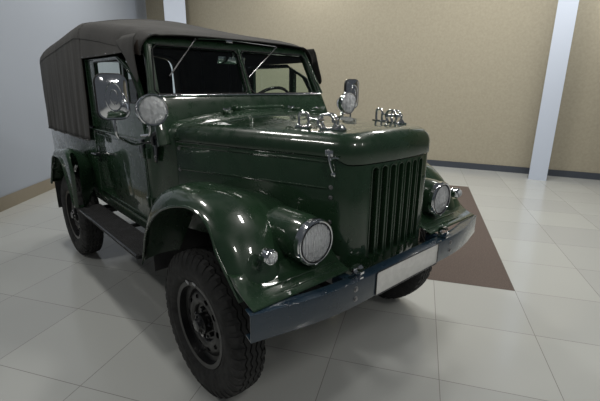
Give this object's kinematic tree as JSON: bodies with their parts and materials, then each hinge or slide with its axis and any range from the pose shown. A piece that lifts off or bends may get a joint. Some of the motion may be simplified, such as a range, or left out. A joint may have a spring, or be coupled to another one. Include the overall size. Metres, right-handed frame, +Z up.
{
  "type": "open-bodied 4x4 car",
  "caption": "Light open-bodied 4x4 car with a canvas top, curved fenders, slotted grille, split windscreen and side-mounted spare wheel; it rolls and steers on its wheels.",
  "frame": {"origin": "on the ground, under the middle of the overall length and width", "axes": "+X to the vehicle's left, +Y to its rear, +Z up; it drives towards -Y"},
  "size_m": [1.958, 3.85, 2.0296],
  "materials": {
    "green_paint": "gloss",
    "black_paint": "gloss",
    "black_plastic": "gloss",
    "engine_iron": "matt",
    "radiator_metal": "matt",
    "exhaust_steel": "dull",
    "tyre_rubber": "matt",
    "canvas": "matt",
    "clear_glass": "gloss",
    "chrome_trim": "polished",
    "lamp_black": "gloss",
    "seat_vinyl": "satin",
    "bench_wood": "painted"
  },
  "bodies": {
    "chassis": {"axle_front": "black_paint", "axle_rear": "black_paint", "benches": "bench_wood", "body_sides": "green_paint", "bumper_front": "black_paint", "bumperettes": "black_paint", "canopy_bows": "black_paint", "canopy_roof": "canvas", "canopy_walls": "canvas", "cowl": "green_paint", "crossmembers": "black_paint", "dashboard": "green_paint", "exhaust": "exhaust_steel", "fenders_front": "green_paint", "fenders_rear": "green_paint", "floor_panel": "green_paint", "frame_rails": "black_paint", "front_aprons": "green_paint", "fuel_tank": "black_paint", "grille": "green_paint", "headlamp_lenses": "clear_glass", "headlamps": "chrome_trim", "leaf_springs": "black_paint", "mirrors": "chrome_trim", "nose_sides": "green_paint", "powertrain": "engine_iron", "propeller_shafts": "black_paint", "radiator": "radiator_metal", "running_boards": "green_paint", "seat_cushions": "seat_vinyl", "seat_frames": "black_paint", "small_lamps": "lamp_black", "spotlights": "chrome_trim", "steering_column": "black_paint", "tow_hooks": "chrome_trim", "tyre_spare": "tyre_rubber", "wheel_disc_spare": "black_paint", "wheelhouses": "green_paint", "windscreen_frame": "green_paint", "windscreen_glass": "clear_glass"},
    "wheel_fl": {"tyre_fl": "tyre_rubber", "wheel_disc_fl": "black_paint"},
    "wheel_fr": {"tyre_fr": "tyre_rubber", "wheel_disc_fr": "black_paint"},
    "wheel_rl": {"tyre_rl": "tyre_rubber", "wheel_disc_rl": "black_paint"},
    "wheel_rr": {"tyre_rr": "tyre_rubber", "wheel_disc_rr": "black_paint"},
    "knuckle_left": {"knuckle_left": "black_paint"},
    "knuckle_right": {"knuckle_right": "black_paint"},
    "tie_rod": {"tie_rod": "black_paint"},
    "steering_wheel": {"steering_wheel": "black_plastic"},
    "door_left": {"door_left": "green_paint", "door_glass_left": "clear_glass"},
    "door_right": {"door_right": "green_paint", "door_glass_right": "clear_glass"},
    "hood": {"hood": "green_paint"},
    "tailgate": {"tailgate": "green_paint"},
    "vent_flap": {"vent_flap": "green_paint"}
  },
  "joints": [
    {"name": "steer_left", "type": "hinge", "parent": "chassis", "child": "knuckle_left", "pos_m": [0.61, -1.265, 0.375], "axis": [0, 0, 1], "range_deg": [-27, 27]},
    {"name": "steer_right", "type": "hinge", "parent": "chassis", "child": "knuckle_right", "pos_m": [-0.61, -1.265, 0.375], "axis": [0, 0, 1], "range_deg": [-27, 27]},
    {"name": "tie_rod_turn", "type": "hinge", "parent": "knuckle_left", "child": "tie_rod", "pos_m": [0.61, -1.48, 0.336], "axis": [0, 0, 1], "range_deg": [-27, 27]},
    {"name": "steering_wheel_turn", "type": "hinge", "parent": "chassis", "child": "steering_wheel", "pos_m": [0.375, -0.329, 1.343], "axis": [0, 0.766, 0.6428], "range_deg": [-486, 486]},
    {"name": "wheel_fl_spin", "type": "hinge", "parent": "knuckle_left", "child": "wheel_fl", "pos_m": [0.72, -1.265, 0.375], "axis": [1, 0, 0], "continuous": true},
    {"name": "wheel_fr_spin", "type": "hinge", "parent": "knuckle_right", "child": "wheel_fr", "pos_m": [-0.72, -1.265, 0.375], "axis": [1, 0, 0], "continuous": true},
    {"name": "wheel_rl_spin", "type": "hinge", "parent": "chassis", "child": "wheel_rl", "pos_m": [0.72, 1.035, 0.375], "axis": [1, 0, 0], "continuous": true},
    {"name": "wheel_rr_spin", "type": "hinge", "parent": "chassis", "child": "wheel_rr", "pos_m": [-0.72, 1.035, 0.375], "axis": [1, 0, 0], "continuous": true},
    {"name": "door_left_hinge", "type": "hinge", "parent": "chassis", "child": "door_left", "pos_m": [0.702, -0.557, 0.9], "axis": [0, 0, -1], "range_deg": [0, 70]},
    {"name": "door_right_hinge", "type": "hinge", "parent": "chassis", "child": "door_right", "pos_m": [-0.702, -0.557, 0.9], "axis": [0, 0, 1], "range_deg": [0, 70]},
    {"name": "hood_hinge", "type": "hinge", "parent": "chassis", "child": "hood", "pos_m": [0, -0.7925, 1.364], "axis": [-1, 0, 0], "range_deg": [0, 55]},
    {"name": "tailgate_hinge", "type": "hinge", "parent": "chassis", "child": "tailgate", "pos_m": [0, 1.905, 0.662], "axis": [-1, 0, 0], "range_deg": [0, 90]},
    {"name": "vent_flap_hinge", "type": "hinge", "parent": "chassis", "child": "vent_flap", "pos_m": [0, -0.779, 1.3675], "axis": [1, 0, 0], "range_deg": [0, 30]}
  ],
  "couplings": [
    {"joint": "steer_right", "follows": "steer_left", "ratio": 1},
    {"joint": "tie_rod_turn", "follows": "steer_left", "ratio": -1},
    {"joint": "steering_wheel_turn", "follows": "steer_left", "ratio": 18}
  ]
}
